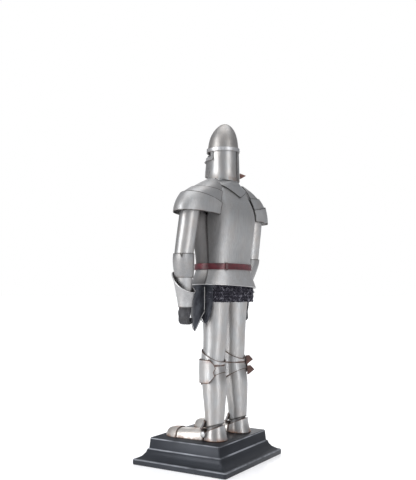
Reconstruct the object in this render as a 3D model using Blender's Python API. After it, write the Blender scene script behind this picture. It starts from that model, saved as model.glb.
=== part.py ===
"""Miniature suit of plate armour standing on a stepped plinth.

The figure faces -Y and its left side is +X. Lengths are written in millimetres and scaled to metres.
Each plate is a thin wall: an outer skin from a table of sections, and an inner skin set in by the wall.
"""

import math

import bpy
import numpy as np

MM = 0.001
PLATE = 1.2
LIGHT_PLATE = 1.0
LEATHER = 1.6
MAIL = 2.0
GAP = 0.3
BODY_Y = 30.0
PLINTH_TOP = 44.8
COLUMNS = 24
ARM_COLUMNS = 14
LEG_COLUMNS = 16
BODY_SPANS = 12

# Plinth sections: height, half width across, half depth
PLINTH_ROWS = (
    (0.0, 103.4, 93.4),
    (0.8, 104.0, 94.0),
    (8.1, 104.0, 94.0),
    (9.1, 103.0, 93.0),
    (10.0, 99.8, 88.8),
    (14.5, 93.2, 81.2),
    (20.0, 89.0, 76.6),
    (25.6, 87.4, 74.6),
    (26.6, 85.4, 72.4),
    (43.8, 84.0, 71.0),
    (44.8, 83.2, 70.2),
)
PLINTH_CORNER = 3.0

# Cuirass sections: height, half width, half depth, roundness power
BODY_ROWS = (
    (330.0, 60.6, 41.0, 2.4),
    (349.0, 60.0, 40.4, 2.5),
    (366.0, 61.6, 40.8, 2.6),
    (390.0, 66.0, 43.0, 2.8),
    (411.0, 69.4, 45.0, 2.9),
    (432.0, 71.4, 45.6, 3.0),
    (446.0, 71.0, 43.6, 2.9),
    (458.0, 69.2, 39.6, 2.8),
    (468.0, 66.4, 34.8, 2.7),
    (478.0, 62.2, 31.0, 2.6),
    (486.0, 56.6, 28.6, 2.5),
    (491.0, 49.0, 26.4, 2.3),
)
PLATE_JOINT_Z = 343.0
SIDE_SEAM = 4.0
# Armhole: height, angle from the side at which the breast and back plates start
ARMHOLE_ROWS = (
    (343.3, 0.2),
    (434.0, 0.2),
    (446.0, 9.0),
    (458.0, 15.0),
    (468.0, 16.0),
    (478.0, 11.0),
    (486.0, 0.5),
    (491.0, 0.5),
)

# Fauld sections: height, half width, half depth, roundness power
FAULD_ROWS = (
    (308.6, 74.0, 50.4, 2.4),
    (318.0, 69.0, 47.0, 2.4),
    (328.0, 64.4, 43.8, 2.4),
    (337.0, 61.0, 41.4, 2.4),
    (342.7, 60.4, 40.9, 2.4),
)
# Rise of the fauld's rim per mm towards the left side
SKEW = 0.04

# Mail skirt sections: height, half width, half depth, roundness power
MAIL_ROWS = (
    (281.0, 66.0, 44.0, 2.4),
    (300.0, 66.3, 44.3, 2.4),
    (314.0, 64.8, 43.2, 2.4),
    (333.0, 60.2, 40.4, 2.4),
)
# Tassets: name, centre angle, half spread at the top, tip height, distance off the mail
TASSETS = (
    ("tasset_front", -21.0, 24.0, 231.0, 2.2),
    ("tasset_side", 2.0, 15.5, 245.0, 0.3),
)
TASSET_TOP_Z = 310.8
TASSET_TOP_RISE = 2.0

# How far the collar's face stands off the cuirass
COLLAR_LIFT = 2.0

BELT_GAP = 0.95
BELT_LOW = 337.7
BELT_HIGH = 348.3

# Skull sections: height, centre in depth, half width, half depth
SKULL_ROWS = (
    (557.0, 29.8, 27.3, 29.2),
    (568.0, 30.0, 26.3, 28.2),
    (578.0, 30.5, 24.7, 26.4),
    (586.5, 31.2, 22.2, 23.8),
    (594.5, 32.1, 18.2, 19.5),
    (601.0, 33.0, 13.2, 14.0),
    (606.0, 33.6, 7.3, 7.7),
)
SKULL_TOP = (0.0, 33.8, 607.8)
HELM_Y = 29.8
# Barrel sections: height, half width, half depth, reach of the keel at the front
BARREL_ROWS = (
    (503.5, 28.8, 30.8, 6.5),
    (521.0, 28.4, 30.5, 6.5),
    (537.0, 28.1, 30.1, 4.5),
    (546.0, 27.8, 29.8, 1.0),
    (556.7, 27.5, 29.4, 0.0),
)
BARREL_TILT = -0.18
# Breath holes on each side: angle, height
BREATH_HOLES = (
    (-39.0, 523.5),
    (-29.0, 515.0),
    (-52.0, 516.5),
    (-63.0, 525.0),
)
EYE_LOW = 544.0
EYE_HIGH = 553.0
FRAME_LOW = 538.0
FRAME_HIGH = 552.3

# Pauldron dome: height, centre across, centre in depth, half width, half depth in front and behind
DOME_ROWS = (
    (430.0, 88.0, 34.6, 62.0, 38.0, 30.5),
    (441.0, 87.4, 34.6, 60.8, 37.6, 31.0),
    (452.0, 85.2, 35.0, 58.2, 36.8, 31.4),
    (462.0, 81.6, 35.6, 54.6, 34.8, 30.8),
    (470.0, 77.0, 36.4, 50.8, 32.4, 29.6),
    (477.0, 70.6, 37.2, 46.2, 29.8, 27.8),
    (484.0, 63.6, 37.6, 39.8, 26.8, 25.4),
    (491.0, 58.0, 37.4, 31.2, 22.6, 22.0),
    (497.5, 52.8, 37.0, 21.6, 16.8, 16.4),
    (503.0, 48.0, 36.4, 12.4, 10.4, 10.4),
    (506.0, 45.4, 36.0, 6.0, 5.4, 5.4),
)
# Height, and how near the middle the lames may reach there
LAME_INNER_ROWS = (
    (430.0, 64.0),
    (453.0, 57.0),
    (473.0, 47.0),
    (483.0, 43.2),
    (506.0, 43.8),
)
# Pauldron lames: name, set in from the dome at the low and high edge, low edge, rise of the low edge to the side,
# high edge, its rise, distance kept from the cuirass, rows
LAMES = (
    ("low", 0.0, 0.0, 431.5, 1.0, 457.1, 9.9, 2.2, 4),
    ("middle", 1.7, 3.4, 450.5, 9.5, 476.0, 4.8, 2.2, 4),
    ("top", 5.1, 5.6, 468.5, 4.4, 501.5, 0.2, 3.0, 5),
)

# Arm tubes: height, centre across, centre in depth, radius
REREBRACE_ROWS = (
    (354.0, 118.6, 21.7, 16.6),
    (372.0, 118.0, 23.4, 16.8),
    (400.0, 116.6, 27.2, 17.2),
    (429.0, 115.0, 31.0, 17.5),
    (461.9, 113.0, 34.4, 17.3),
)
ELBOW_ROWS = (
    (322.4, 107.9, 16.6, 16.0),
    (330.0, 110.4, 17.6, 17.5),
    (345.0, 115.4, 19.8, 18.9),
    (355.4, 118.4, 21.8, 18.8),
    (362.6, 118.5, 22.4, 18.5),
)
VAMBRACE_ROWS = (
    (292.0, 102.8, 13.8, 11.6),
    (303.0, 104.6, 14.6, 12.6),
    (314.0, 106.4, 15.8, 13.8),
    (326.0, 108.9, 17.1, 14.6),
)
NOTCH_ANGLE = 24.0
NOTCH_WIDTH = 8.0
NOTCH_DEPTH = 7.0
# Gauntlet cuff: height, centre across, centre in depth, radius, tilt per mm of depth
CUFF_ROWS = (
    (273.0, 100.4, 13.8, 12.8, 0.0),
    (284.0, 101.6, 13.9, 13.8, -0.12),
    (298.0, 104.4, 14.4, 16.6, -0.6),
    (315.0, 106.9, 14.6, 19.8, -0.9),
)
CUFF_SAG = 4.0
# Glove from the wrist to the curled finger tips: centre across, height, half thickness, half breadth, finger grooves
GLOVE_ROWS = (
    (101.9, 290.7, 11.3, 11.3, 0.0),
    (100.8, 276.0, 10.95, 10.95, 0.0),
    (100.6, 267.0, 9.6, 11.2, 0.0),
    (102.4, 259.5, 6.6, 11.4, 0.4),
    (105.0, 252.6, 4.0, 11.4, 1.0),
    (103.6, 247.4, 3.4, 11.3, 1.0),
    (98.6, 245.2, 3.2, 11.2, 1.0),
    (94.0, 247.4, 3.0, 11.0, 1.0),
    (92.2, 251.6, 2.8, 10.8, 1.0),
    (92.6, 254.8, 1.9, 10.0, 1.0),
)
GLOVE_Y = 13.6
GLOVE_WALL = 1.5
HOLLOW_ROWS = 3
# Quarter of the outline over the fingers: across the fingers' thickness, along their breadth
FINGER_OUTLINE = (
    (0.70, 0.0),
    (1.0, 0.24),
    (0.70, 0.48),
    (0.95, 0.76),
    (0.0, 1.0),
)
# Thumb: centre across, depth, height, radius
THUMB_PATH = (
    (103.0, 4.6, 268.0, 3.0),
    (101.0, 2.4, 262.0, 3.6),
    (96.6, 1.8, 256.4, 3.4),
    (93.0, 3.0, 251.4, 2.8),
)

# Leg tubes: height, centre across, centre in depth, half width, half depth
CUISSE_ROWS = (
    (176.0, 36.7, 30.0, 19.9, 19.9),
    (190.0, 35.9, 31.5, 20.0, 20.0),
    (215.0, 34.2, 32.6, 20.6, 20.8),
    (245.0, 33.5, 32.8, 22.0, 22.4),
    (276.0, 33.2, 33.2, 24.0, 25.0),
    (288.0, 33.1, 33.2, 26.6, 27.0),
    (301.0, 33.0, 32.4, 30.6, 29.0),
)
GREAVE_ROWS = (
    (68.8, 41.2, 36.2, 16.3, 16.5),
    (90.0, 40.5, 35.8, 17.6, 18.0),
    (114.0, 39.6, 35.0, 20.0, 20.4),
    (140.0, 38.2, 34.0, 22.2, 22.8),
    (155.0, 37.6, 31.6, 21.0, 21.4),
    (167.0, 37.2, 29.8, 19.9, 20.1),
)
GREAVE_FOOT_TILT = 0.3
KNEE_UPPER_ROWS = (
    (172.0, 37.0, 29.8, 21.5, 21.5, 0.0),
    (180.0, 36.6, 30.4, 21.5, 21.5, -0.25),
    (188.5, 35.9, 30.9, 21.7, 21.5, -0.5),
)
KNEE_LOWER_ROWS = (
    (148.0, 38.0, 31.5, 23.2, 21.9, 0.55),
    (160.0, 37.4, 30.2, 22.2, 21.7, 0.25),
    (171.7, 37.0, 29.8, 21.5, 21.5, 0.0),
)
# Stand-off of the knee cop's wing, in mm per unit of sine behind the side
WING_FLARE = 4.4
POLEYN_CENTRE = (37.4, 30.4)
POLEYN_HALF = (24.9, 23.6)
# Knee cop: height, stand-off from the knee at the front, half spread at the front, wing reach outwards
POLEYN_ROWS = (
    (142.0, 0.0, 40.0, 62.0),
    (149.0, 0.5, 56.0, 62.0),
    (155.0, 0.9, 64.0, 66.0),
    (161.0, 1.1, 66.0, 58.0),
    (168.0, 1.0, 66.0, 66.0),
    (175.0, 0.6, 60.0, 66.0),
    (182.0, 0.2, 44.0, 66.0),
)

FOOT_BOTTOM = PLINTH_TOP + GAP
# Foot sections towards the toe: depth, centre across, half width, top height
FOOT_ROWS = (
    (22.0, 42.6, 15.4, 62.3),
    (8.0, 43.2, 17.4, 62.3),
    (-8.0, 43.8, 18.2, 61.4),
    (-22.0, 44.4, 18.0, 60.8),
    (-35.0, 44.9, 17.0, 60.4),
)
TOE_ROWS = (
    (-30.0, 44.7, 19.2, 62.3),
    (-41.0, 45.1, 17.4, 62.0),
    (-49.5, 45.5, 14.4, 60.6),
    (-55.0, 45.8, 10.4, 56.8),
)
TOE_TIP = (46.0, -57.8, 49.6)
# Guard over the ankle's front: height, centre across, centre in depth, half width, half depth
GUARD_ROWS = (
    (63.1, 42.4, 31.6, 20.2, 21.6),
    (78.0, 41.2, 35.8, 18.4, 18.7),
)
HEEL_FROM = -40.0
HEEL_TO = 220.0
DISC_CENTRE = (60.0, 24.2, 55.6)
DISC_RADIUS = 5.2
DISC_THICK = 2.0
# Heel plate: height, centre across, centre in depth, half width, half depth
HEEL_ROWS = (
    (45.6, 42.2, 38.2, 21.6, 22.0, 0.0),
    (52.0, 41.9, 37.2, 20.2, 20.2, 0.08),
    (58.5, 41.6, 36.6, 18.8, 19.0, 0.22),
    (64.2, 41.2, 36.3, 18.1, 18.5, 0.42),
)

# Strap ends: angle they point to, and outlines as distance out and height from the root
STRAP_DIRECTION = 121.0
# Knee strap ends: name, root across, in depth and in height
KNEE_STRAPS = (
    ("right_knee_strap_upper", -48.6, 49.0, 174.9),
    ("right_knee_strap_lower", -49.9, 51.1, 156.4),
)
STRAP_THICK = 1.8
KNEE_STRAP_OUTLINE = ((0.0, -8.6), (2.2, -8.8), (13.6, 0.6), (6.4, 8.4), (0.0, 7.6))
HELM_STRAP_ROOT = (-15.3, 56.2, 511.0)
HELM_STRAP_OUTLINE = ((0.0, -5.0), (2.0, -5.0), (11.5, 0.4), (0.0, 5.0))


def remove_all():
    for thing in list(bpy.data.objects):
        bpy.data.objects.remove(thing, do_unlink=True)


def material(name, color, metallic, roughness):
    made = bpy.data.materials.new(name)
    made.use_nodes = True
    shader = made.node_tree.nodes["Principled BSDF"]
    shader.inputs["Base Color"].default_value = (*color, 1.0)
    shader.inputs["Metallic"].default_value = metallic
    shader.inputs["Roughness"].default_value = roughness
    return made


STEEL = (0.42, 0.43, 0.44)
DARK_STEEL = (0.05, 0.055, 0.065)
MAIL_STEEL = (0.07, 0.07, 0.09)
BLACK_PAINT = (0.03, 0.032, 0.036)
BELT_RED = (0.17, 0.025, 0.035)
GLOVE_BLACK = (0.02, 0.02, 0.024)
STRAP_BROWN = (0.09, 0.045, 0.035)
LOOKS = {
    "steel": (STEEL, 1.0, 0.35),
    "dark": (DARK_STEEL, 1.0, 0.5),
    "mail": (MAIL_STEEL, 1.0, 0.5),
    "paint": (BLACK_PAINT, 0.0, 0.4),
    "belt": (BELT_RED, 0.0, 0.45),
    "glove": (GLOVE_BLACK, 0.0, 0.6),
    "strap": (STRAP_BROWN, 0.0, 0.6),
}


def add_object(name, points, faces, look, angle=35.0):
    mesh = bpy.data.meshes.new(name)
    mesh.from_pydata([tuple(p) for p in np.asarray(points) * MM], [], faces)
    mesh.validate()
    mesh.update()
    thing = bpy.data.objects.new(name, mesh)
    bpy.context.scene.collection.objects.link(thing)
    mesh.materials.append(material(name + "_mat", *LOOKS[look]))
    mesh.shade_smooth()
    mesh.set_sharp_from_angle(angle=math.radians(angle))
    return thing


def pair(name, points, faces, look, angle=35.0):
    """The left piece, and the right one as its mirror image."""
    left = add_object("left_" + name, points, faces, look, angle)
    mirrored = np.asarray(points) * np.array([-1.0, 1.0, 1.0])
    right = add_object("right_" + name, mirrored, [face[::-1] for face in faces], look, angle)
    return left, right


def between(rows, height):
    """The table's other columns at this height."""
    table = np.array(rows, float)
    return [np.interp(height, table[:, 0], table[:, k]) for k in range(1, table.shape[1])]


def round_point(angle, half_width, half_depth, power=2.0):
    c = math.cos(math.radians(angle))
    s = math.sin(math.radians(angle))
    x = half_width * math.copysign(abs(c) ** (2.0 / power), c)
    y = half_depth * math.copysign(abs(s) ** (2.0 / power), s)
    return x, y


def full_turn(count=COLUMNS):
    return [360.0 * k / count for k in range(count)]


def set_in(grid, depth, closed):
    """The grid moved in by this depth along its own normals."""
    if closed:
        across = np.roll(grid, -1, axis=1) - np.roll(grid, 1, axis=1)
    else:
        across = np.gradient(grid, axis=1)
    along = np.gradient(grid, axis=0)
    normal = np.cross(across, along)
    normal /= np.linalg.norm(normal, axis=2, keepdims=True)
    return grid - depth * normal


def skins(outer, inner, closed, outer_tip=None, inner_tip=None):
    """Points and faces of a wall between two grids, with its rims, and a tip at the last row if one is given."""
    rows, columns = outer.shape[:2]
    size = rows * columns
    points = list(outer.reshape(-1, 3)) + list(inner.reshape(-1, 3))

    def at(skin, i, j):
        return skin * size + i * columns + j % columns

    faces = []
    spans = columns if closed else columns - 1
    for i in range(rows - 1):
        for j in range(spans):
            faces.append((at(0, i, j), at(0, i, j + 1), at(0, i + 1, j + 1), at(0, i + 1, j)))
            faces.append((at(1, i, j), at(1, i + 1, j), at(1, i + 1, j + 1), at(1, i, j + 1)))
    for j in range(spans):
        faces.append((at(0, 0, j + 1), at(0, 0, j), at(1, 0, j), at(1, 0, j + 1)))
    last = rows - 1
    if outer_tip is None:
        for j in range(spans):
            faces.append((at(0, last, j), at(0, last, j + 1), at(1, last, j + 1), at(1, last, j)))
    else:
        points += [outer_tip, inner_tip]
        for j in range(spans):
            faces.append((at(0, last, j), at(0, last, j + 1), 2 * size))
            faces.append((at(1, last, j + 1), at(1, last, j), 2 * size + 1))
        if not closed:
            faces.append((at(0, last, 0), 2 * size, 2 * size + 1, at(1, last, 0)))
            end = columns - 1
            faces.append((2 * size, at(0, last, end), at(1, last, end), 2 * size + 1))
    if not closed:
        end = columns - 1
        for i in range(rows - 1):
            faces.append((at(0, i, 0), at(0, i + 1, 0), at(1, i + 1, 0), at(1, i, 0)))
            faces.append((at(0, i + 1, end), at(0, i, end), at(1, i, end), at(1, i + 1, end)))
    return points, faces


def wall(grid, thickness, closed):
    outer = np.array(grid, float)
    return skins(outer, set_in(outer, thickness, closed), closed)


def filled(rings, tip_low=None, tip_high=None):
    """Points and faces of a filled loft through rings, closed flat or to a tip at each end."""
    rows, columns = len(rings), len(rings[0])
    points = [p for ring in rings for p in ring]
    faces = []
    for i in range(rows - 1):
        for j in range(columns):
            k = (j + 1) % columns
            faces.append((i * columns + j, i * columns + k, (i + 1) * columns + k, (i + 1) * columns + j))
    top = (rows - 1) * columns
    if tip_low is None:
        faces.append(tuple(range(columns))[::-1])
    else:
        points.append(tip_low)
        faces += [((j + 1) % columns, j, len(points) - 1) for j in range(columns)]
    if tip_high is None:
        faces.append(tuple(range(top, top + columns)))
    else:
        points.append(tip_high)
        faces += [(top + j, top + (j + 1) % columns, len(points) - 1) for j in range(columns)]
    return points, faces


def tube_grid(rows, angles, power=2.0):
    """Rows: height, centre across, centre in depth, half width, half depth, and a tilt per mm of depth."""
    grid = []
    for row in rows:
        z, cx, cy, rx = row[:4]
        ry = row[4] if len(row) > 4 else rx
        tilt = row[5] if len(row) > 5 else 0.0
        line = []
        for angle in angles:
            x, y = round_point(angle, rx, ry, power)
            line.append((cx + x, cy + y, z + tilt * y))
        grid.append(line)
    return grid


def body_point(angle, z, out=0.0):
    rx, ry, power = between(BODY_ROWS, z)
    x, y = round_point(angle, rx + out, ry + out, power)
    return x, BODY_Y + y, z


def build_plinth():
    rings = []
    for z, half_x, half_y in PLINTH_ROWS:
        ring = []
        for corner in range(4):
            sx = (1, -1, -1, 1)[corner]
            sy = (1, 1, -1, -1)[corner]
            for step in range(4):
                angle = math.radians(90.0 * corner + 30.0 * step)
                x = sx * (half_x - PLINTH_CORNER) + PLINTH_CORNER * math.cos(angle)
                y = sy * (half_y - PLINTH_CORNER) + PLINTH_CORNER * math.sin(angle)
                ring.append((x, y, z))
        rings.append(ring)
    add_object("plinth", *filled(rings), "paint", 25.0)


def build_cuirass():
    heights = [PLATE_JOINT_Z + GAP] + [row[0] for row in BODY_ROWS[2:]]
    for name, start in (("back_plate", SIDE_SEAM), ("breast_plate", 180.0 - SIDE_SEAM)):
        sweep = 180.0 - 2.0 * SIDE_SEAM if start < 90.0 else 180.0 + 2.0 * SIDE_SEAM
        grid = []
        for z in heights:
            hole = between(ARMHOLE_ROWS, z)[0] + 0.15
            angles = np.linspace(start + hole, start + sweep - hole, BODY_SPANS + 1)
            grid.append([body_point(a, z) for a in angles])
        add_object(name, *wall(grid, PLATE, False), "steel")


def build_fauld():
    for name, start in (("fauld_back", SIDE_SEAM), ("fauld_front", 180.0 - SIDE_SEAM)):
        sweep = 180.0 - 2.0 * SIDE_SEAM if start < 90.0 else 180.0 + 2.0 * SIDE_SEAM
        grid = []
        for z, rx, ry, power in FAULD_ROWS:
            angles = np.linspace(start + 0.4, start + sweep - 0.4, BODY_SPANS + 1)
            grid.append([(x, BODY_Y + y, z) for x, y in (round_point(a, rx, ry, power) for a in angles)])
        grid = np.array(grid)
        grid[0, :, 2] += SKEW * grid[0, :, 0]
        add_object(name, *wall(grid, PLATE, False), "steel")


def build_mail():
    grid = []
    for z, rx, ry, power in MAIL_ROWS:
        grid.append([(x, BODY_Y + y, z) for x, y in (round_point(a, rx, ry, power) for a in full_turn(20))])
    add_object("mail_skirt", *wall(grid, MAIL, True), "mail")


def build_tassets():
    for name, centre, spread, tip_z, off in TASSETS:
        for side, sign in (("left_", 1.0), ("right_", -1.0)):
            top = TASSET_TOP_Z + sign * TASSET_TOP_RISE
            grid = []
            for step in range(6):
                t = step / 5.0
                reach = spread * min(1.0, 0.04 + 0.96 * (t / 0.45) ** 0.6)
                line = []
                for k in range(5):
                    angle = centre + reach * (k / 2.0 - 1.0)
                    x, y = round_point(angle, 66.3 + PLATE + off, 44.3 + PLATE + off, 2.4)
                    line.append((sign * x, BODY_Y + y, tip_z + (top - tip_z) * t))
                grid.append(line if sign > 0.0 else line[::-1])
            add_object(side + name, *wall(grid, PLATE, False), "dark")


def belt_half(z):
    low, high = between(BODY_ROWS, z), between(FAULD_ROWS, min(z, FAULD_ROWS[-1][0]))
    return max(low[0], high[0]) + BELT_GAP, max(low[1], high[1]) + BELT_GAP


def build_belt():
    outer, inner = [], []
    for z in (BELT_LOW, PLATE_JOINT_Z, BELT_HIGH):
        rx, ry = belt_half(z)
        outer.append([(x, BODY_Y + y, z) for x, y in
                      (round_point(a, rx + LEATHER, ry + LEATHER, 2.4) for a in full_turn(30))])
        inner.append([(x, BODY_Y + y, z) for x, y in (round_point(a, rx, ry, 2.4) for a in full_turn(30))])
    add_object("waist_belt", *skins(np.array(outer), np.array(inner), True), "belt")


def plate_on_belt(centre, half_mm, low, high, thickness):
    """A small plate that follows the belt's face."""
    spread = math.degrees(half_mm / 48.0)
    angles = [centre + spread * k for k in (-1.0, -0.5, 0.0, 0.5, 1.0)]
    outer, inner = [], []
    for z in (low, PLATE_JOINT_Z, high):
        rx, ry = belt_half(z)
        rx, ry = rx + LEATHER + 0.4, ry + LEATHER + 0.4
        outer.append([(x, BODY_Y + y, z) for x, y in
                      (round_point(a, rx + thickness, ry + thickness, 2.4) for a in angles)])
        inner.append([(x, BODY_Y + y, z) for x, y in (round_point(a, rx, ry, 2.4) for a in angles)])
    return skins(np.array(outer), np.array(inner), False)


def boolean(target, operation, tool):
    """The Boolean result written into the target, and the tool removed."""
    step = target.modifiers.new("cut", "BOOLEAN")
    step.operation = operation
    step.object = tool
    step.solver = "EXACT"
    graph = bpy.context.evaluated_depsgraph_get()
    made = bpy.data.meshes.new_from_object(target.evaluated_get(graph))
    target.modifiers.clear()
    old = target.data
    target.data = made
    bpy.data.meshes.remove(old)
    bpy.data.objects.remove(tool, do_unlink=True)
    made.shade_smooth()
    made.set_sharp_from_angle(angle=math.radians(35.0))


def cutter(points, faces):
    mesh = bpy.data.meshes.new("cutter")
    mesh.from_pydata([tuple(p) for p in np.asarray(points) * MM], [], faces)
    mesh.update()
    thing = bpy.data.objects.new("cutter", mesh)
    thing.hide_render = True
    thing.display_type = "WIRE"
    bpy.context.scene.collection.objects.link(thing)
    return thing


def block(low, high):
    x0, y0, z0 = low
    x1, y1, z1 = high
    return filled([[(x0, y0, z), (x1, y0, z), (x1, y1, z), (x0, y1, z)] for z in (z0, z1)])


def build_belt_metal():
    add_object("belt_keeper", *plate_on_belt(47.0, 2.2, 336.6, 349.4, 1.0), "steel")
    buckle = add_object("belt_buckle", *plate_on_belt(270.0, 8.5, 334.8, 351.2, 1.8), "steel")
    for low, high in ((-6.4, -0.9), (0.9, 6.4)):
        boolean(buckle, "DIFFERENCE", cutter(*block((low, -25.0, 338.4), (high, 0.0, 347.6))))


def barrel_point(angle, z, out=0.0):
    half_x, half_y, keel = between(BARREL_ROWS, z)
    x, y = round_point(angle, half_x + out, half_y + out)
    ahead = max(0.0, -math.sin(math.radians(angle)))
    return x, HELM_Y + y - keel * ahead ** 9, z


def build_helm():
    angles = full_turn(24)
    outer = np.array(tube_grid([(z, 0.0, cy, rx, ry) for z, cy, rx, ry in SKULL_ROWS], angles))
    inner = set_in(outer, PLATE, True)
    tip = np.array(SKULL_TOP)
    add_object("helm_skull", *skins(outer, inner, True, tip, tip - np.array([0.0, 0.0, 1.6])), "steel")

    grid = np.array([[barrel_point(a, row[0]) for a in angles] for row in BARREL_ROWS])
    grid[0, :, 2] += BARREL_TILT * (grid[0, :, 1] - HELM_Y)
    barrel = add_object("helm_barrel", *wall(grid, PLATE, True), "steel")
    for side in (1.0, -1.0):
        boolean(barrel, "DIFFERENCE", cutter(*eye_block(side)))
        for angle, z in BREATH_HOLES:
            boolean(barrel, "DIFFERENCE", cutter(*breath_hole(angle, z, side)))

    band = [(z, 0.0, HELM_Y, 27.5 + 1.7, 29.4 + 1.7) for z in (553.2, 560.4)]
    add_object("helm_brow_band", *wall(tube_grid(band, angles), 1.0, True), "steel")
    build_sight_frame()
    strip = []
    for z in (499.5, 530.0, 552.8):
        strip.append([barrel_point(90.0 + spread, z, GAP + 0.9) for spread in (-5.2, 0.0, 5.2)])
    add_object("helm_back_strip", *wall(strip, 0.9, False), "steel")


def eye_block(side):
    x0, x1 = sorted((side * 2.4, side * 27.6))
    return block((x0, HELM_Y - 44.0, EYE_LOW), (x1, HELM_Y - 7.0, EYE_HIGH))


def breath_hole(angle, z, side):
    """A six-sided peg through the barrel's wall."""
    turn = math.radians(angle)
    out = np.array([side * math.cos(turn), math.sin(turn), 0.0])
    across = np.array([-out[1], out[0], 0.0])
    rings = []
    for reach in (24.0, 36.0):
        ring = []
        for k in range(6):
            a = math.radians(60.0 * k)
            centre = np.array([0.0, HELM_Y, z]) + out * reach
            ring.append(tuple(centre + 1.1 * (across * math.cos(a) + np.array([0.0, 0.0, 1.0]) * math.sin(a))))
        rings.append(ring)
    return filled(rings)


def build_sight_frame():
    grid = []
    for z, out in ((FRAME_LOW, 3.6), (FRAME_LOW + 1.6, 1.5), (FRAME_HIGH, 1.5)):
        grid.append([barrel_point(-172.0 + 164.0 * k / 18.0, z, out) for k in range(19)])
    frame = add_object("helm_sight_frame", *wall(grid, 1.0, False), "steel")
    for side in (1.0, -1.0):
        boolean(frame, "DIFFERENCE", cutter(*eye_block(side)))


def collar_edge(angle, low, high):
    """Height of the collar's lower edge: a V that rises from the middle to the sides."""
    z = low
    for _ in range(6):
        x = abs(body_point(angle, z, 1.6)[0])
        z = min(high, low + (high - low) * x / 50.0)
    return z


def build_gorget():
    """Each half lies on the cuirass's shoulders, then turns up inside the helm."""
    neck = ((495.0, 36.0, 28.6), (498.6, 27.0, 28.8), (510.0, 27.0, 28.8))
    for name, start, low in (("gorget_back", 0.4, 467.0), ("gorget_front", 180.4, 470.0)):
        grid = [[] for _ in range(7)]
        for k in range(13):
            angle = start + 179.2 * k / 12.0
            edge = collar_edge(angle, low, 487.5)
            for i in range(4):
                grid[i].append(body_point(angle, edge + (491.0 - edge) * i / 3.0))
            for i, (z, rx, ry) in enumerate(neck):
                x, y = round_point(angle, rx, ry)
                grid[4 + i].append((x, HELM_Y + y, z))
        grid = np.array(grid)
        lift = np.array([COLLAR_LIFT] * 4 + [0.6, 0.0, 0.0])[:, None, None]
        normal_step = grid - set_in(grid, 1.0, False)
        add_object(name, *wall(grid + lift * normal_step, LIGHT_PLATE, False), "steel")


def dome_point(angle, z):
    cx, cy, half_x, front, behind = between(DOME_ROWS, z)
    x, y = round_point(angle, half_x, behind if angle > 0.0 else front)
    return cx + x, cy + y, z


def clear_angle(z_of, keep, sign):
    """How far round the dome a lame goes before it comes too near the cuirass."""
    angle = 60.0
    while angle < 172.0:
        x, y, z = dome_point(sign * angle, z_of(sign * angle))
        rx, ry, power = between(BODY_ROWS, z)
        level = (abs(x) / (rx + keep)) ** power + (abs(y - BODY_Y) / (ry + keep)) ** power
        if (level < 1.0 and z < 499.0) or x < between(LAME_INNER_ROWS, z)[0]:
            break
        angle += 1.0
    return angle - 1.0


def build_pauldrons():
    for name, low_inset, high_inset, low, low_rise, high, high_rise, keep, rows in LAMES:
        grid = []
        for i in range(rows + 1):
            t = i / rows
            base, rise = low + (high - low) * t, low_rise + (high_rise - low_rise) * t

            def height(angle):
                return base + rise * math.cos(math.radians(angle))

            room = low_inset + (high_inset - low_inset) * t + keep
            angles = np.linspace(-clear_angle(height, room, -1.0), clear_angle(height, room, 1.0), 13)
            grid.append([dome_point(a, height(a)) for a in angles])
        inset = np.linspace(low_inset, high_inset, rows + 1)[:, None, None]
        pair("pauldron_" + name, *wall(set_in(np.array(grid), inset, False), PLATE, False), "steel")


def build_arms():
    rows = [(z, cx, cy, r, r) for z, cx, cy, r in REREBRACE_ROWS]
    pair("rerebrace", *wall(tube_grid(rows, full_turn(ARM_COLUMNS)), LIGHT_PLATE, True), "steel")
    angles = sorted(full_turn(ARM_COLUMNS) + [NOTCH_ANGLE - NOTCH_WIDTH, NOTCH_ANGLE, NOTCH_ANGLE + NOTCH_WIDTH])
    rows = [(z, cx, cy, r, r) for z, cx, cy, r in ELBOW_ROWS]
    outer = np.array(tube_grid(rows, angles))
    inner = set_in(outer, LIGHT_PLATE, True)
    notch = angles.index(NOTCH_ANGLE)
    outer[-1, notch, 2] -= NOTCH_DEPTH - 0.6
    inner[-1, notch, 2] -= NOTCH_DEPTH - 0.6
    outer[-1, notch, 2] = max(outer[-1, notch, 2], ELBOW_ROWS[-2][0] + 0.8)
    inner[-1, notch, 2] = max(inner[-1, notch, 2], ELBOW_ROWS[-2][0] + 0.8)
    pair("elbow", *skins(outer, inner, True), "steel")
    rows = [(z, cx, cy, r, r) for z, cx, cy, r in VAMBRACE_ROWS]
    pair("vambrace", *wall(tube_grid(rows, full_turn(ARM_COLUMNS)), LIGHT_PLATE, True), "steel")
    rows = [(z, cx, cy, r, r, tilt) for z, cx, cy, r, tilt in CUFF_ROWS]
    grid = np.array(tube_grid(rows, full_turn(ARM_COLUMNS)))
    off = (grid[-1, :, 1] - CUFF_ROWS[-1][2]) / CUFF_ROWS[-1][3]
    grid[-1, :, 2] -= CUFF_SAG * (1.0 - off**2)
    pair("gauntlet_cuff", *wall(grid, LIGHT_PLATE, True), "steel")


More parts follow.
